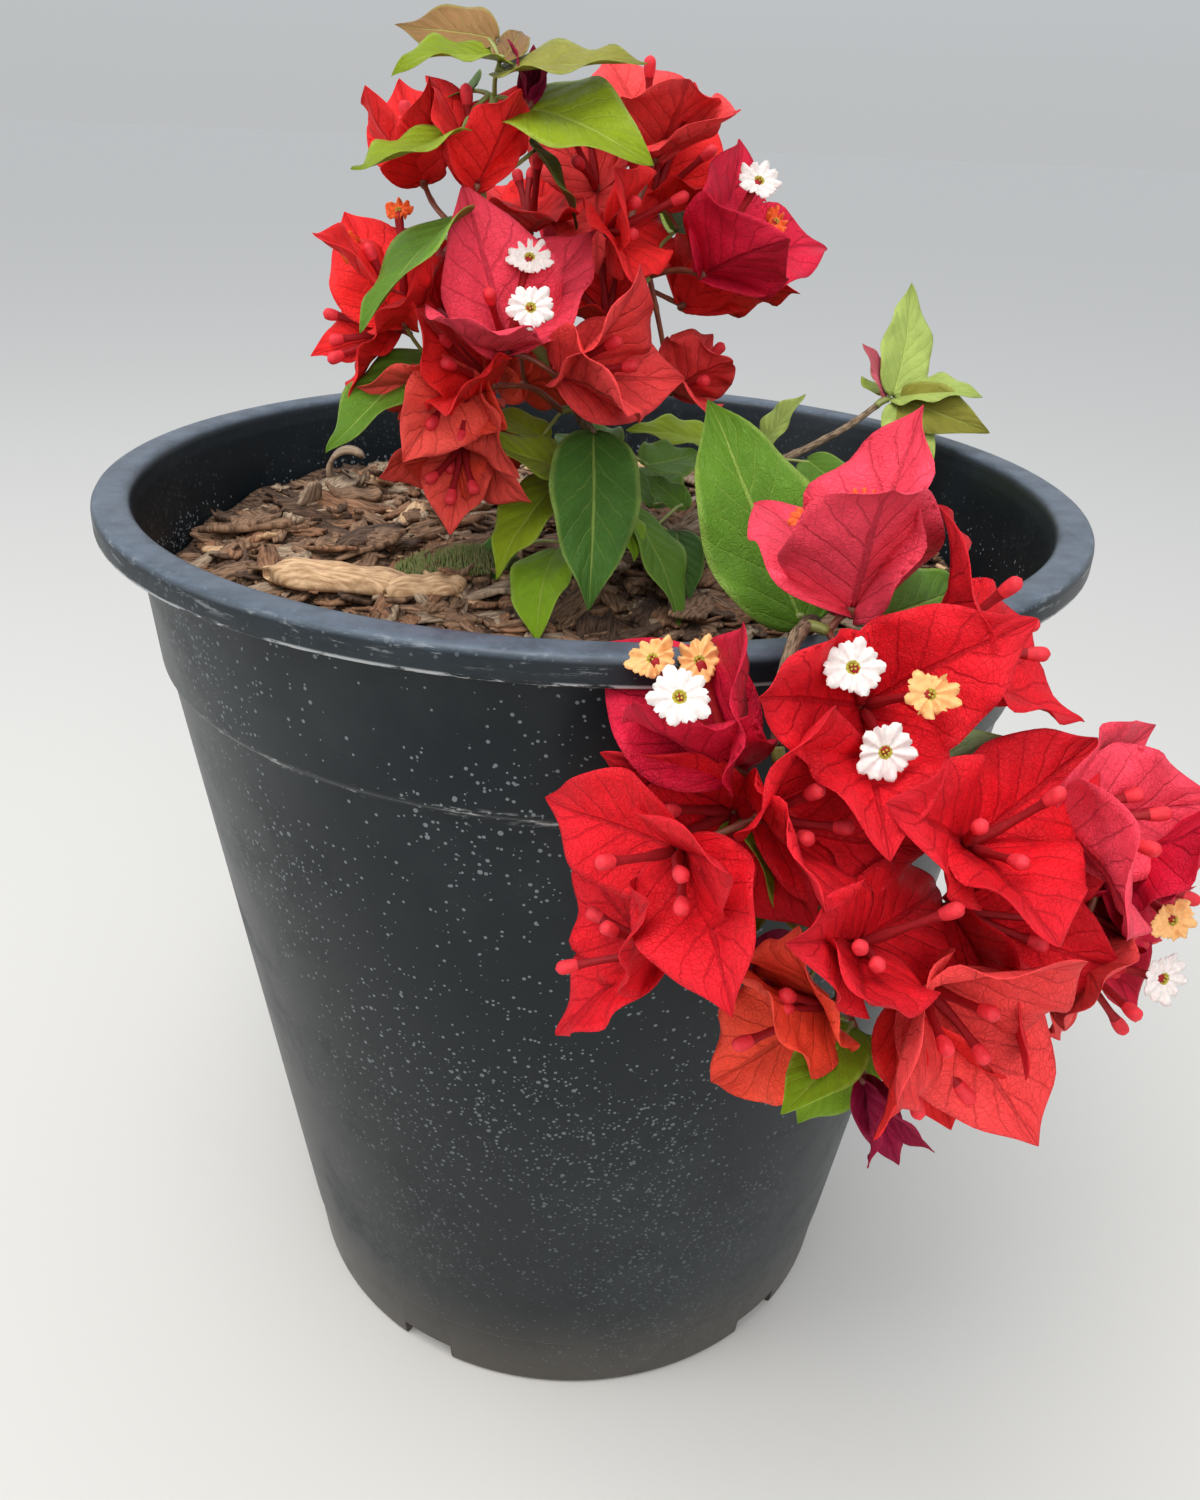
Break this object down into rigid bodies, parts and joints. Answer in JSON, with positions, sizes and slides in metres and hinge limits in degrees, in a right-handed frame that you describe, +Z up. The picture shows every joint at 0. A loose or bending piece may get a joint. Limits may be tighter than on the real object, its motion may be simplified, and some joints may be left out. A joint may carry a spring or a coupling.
{
  "type": "potted bougainvillea bush",
  "caption": "Young bougainvillea bush with red bracts and white flowers, arching over the rim of a round black nursery pot filled with bark mulch.",
  "frame": {"origin": "centre of the pot's flat underside", "axes": "+Z up, -Y towards the viewer of the front, where the hanging shoot crosses the rim, +X to the viewer's right"},
  "size_m": [0.3, 0.3676, 0.4227],
  "materials": {
    "pot": "satin",
    "mulch": "rough",
    "wood": "rough",
    "green_stem": "matte",
    "leaf": "satin",
    "young_leaf": "satin",
    "blossom": "papery"
  },
  "bodies": {
    "root": {"pot": "pot", "mulch": "mulch", "trunk": "wood", "stem_left": "wood", "bough_crown": "green_stem", "bough_right": "green_stem", "bough_back": "green_stem", "stem_right": "wood", "bough_front": "green_stem", "bough_side": "green_stem", "stem_back": "wood", "crown_tip": "young_leaf", "crown_left": "blossom", "crown_middle": "blossom", "crown_back": "blossom", "crown_right": "blossom", "crown_low": "blossom", "skirt": "leaf", "skirt_back": "leaf", "basal": "leaf", "large_leaf": "leaf", "rim_heads": "blossom", "front_heads": "blossom", "low_heads": "blossom", "side_heads": "blossom", "back_leaves": "leaf", "back_shoot": "young_leaf"}
  },
  "joints": []
}
